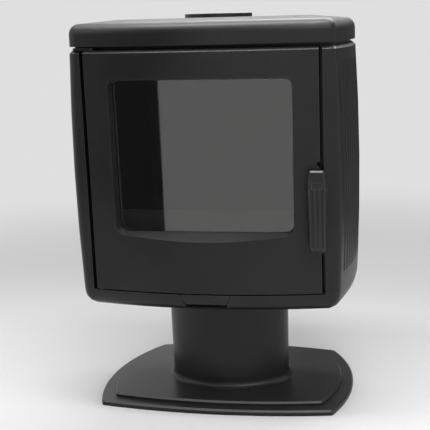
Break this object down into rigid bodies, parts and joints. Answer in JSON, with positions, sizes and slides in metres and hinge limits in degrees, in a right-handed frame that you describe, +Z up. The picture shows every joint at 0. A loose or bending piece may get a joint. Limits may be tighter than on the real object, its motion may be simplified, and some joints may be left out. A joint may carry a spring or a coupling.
{
  "type": "wood stove",
  "caption": "Free-standing cast iron wood stove with bowed walls, a glazed hinged door with a pull handle, a pull-out air control, a flue collar in the lid and an oval pedestal on a base plate.",
  "frame": {"origin": "on the floor, on the axis of the column, at the middle of the overall footprint", "axes": "+Z up, the door faces -Y, +X is the viewer's right"},
  "size_m": [0.576, 0.43, 0.81],
  "materials": {
    "black_cast_iron": "matt stove paint",
    "steel": "plain, darkened by heat",
    "sheet_steel": "matt paint on sheet steel",
    "fire_lining": "pressed mineral board",
    "rope_seal": "braided glass fibre",
    "fire_glass": "clear ceramic glass"
  },
  "bodies": {
    "stove": {"base_plate": "black_cast_iron", "pedestal_column": "black_cast_iron", "floor_pan": "black_cast_iron", "front_frame": "black_cast_iron", "side_panel_left": "black_cast_iron", "side_panel_right": "black_cast_iron", "rear_panel": "black_cast_iron", "rear_flue_cover": "black_cast_iron", "top_plate": "black_cast_iron", "flue_collar": "black_cast_iron", "ash_floor": "black_cast_iron", "grate_frame": "black_cast_iron", "fire_grate": "black_cast_iron", "baffle_plate": "black_cast_iron", "log_retainer": "black_cast_iron", "pedestal_bolts": "steel", "rear_cover_screws": "steel", "flue_collar_bolts": "steel", "tie_rods": "steel", "tie_rod_nuts": "steel", "air_slide_guides": "steel", "upper_hinge_strap": "steel", "hinge_strap_screw": "steel", "lower_hinge_pin": "steel", "latch_catch": "steel", "latch_catch_screws": "steel", "ash_pan": "sheet_steel", "air_wash_deflector": "sheet_steel", "left_liner": "fire_lining", "right_liner": "fire_lining", "rear_liner": "fire_lining", "lid_gasket": "rope_seal"},
    "door": {"door_frame": "black_cast_iron", "door_glass": "fire_glass", "glass_gasket": "rope_seal", "glass_clips": "steel", "glass_clip_screws": "steel", "door_gasket": "rope_seal", "upper_hinge_pin": "steel", "handle_pin": "steel"},
    "handle": {"door_handle": "black_cast_iron"},
    "air_control": {"air_slide": "black_cast_iron"}
  },
  "joints": [
    {"name": "door_hinge", "type": "hinge", "parent": "stove", "child": "door", "pos_m": [-0.223, -0.17599, 0.5], "axis": [0, 0, -1], "range_deg": [0, 95]},
    {"name": "handle_pivot", "type": "hinge", "parent": "door", "child": "handle", "pos_m": [0.226, -0.17999, 0.435], "axis": [0, 0, 1], "range_deg": [0, 35]},
    {"name": "air_pull", "type": "slide", "parent": "stove", "child": "air_control", "axis": [0, -1, 0], "range_m": [0, 0.03]}
  ]
}
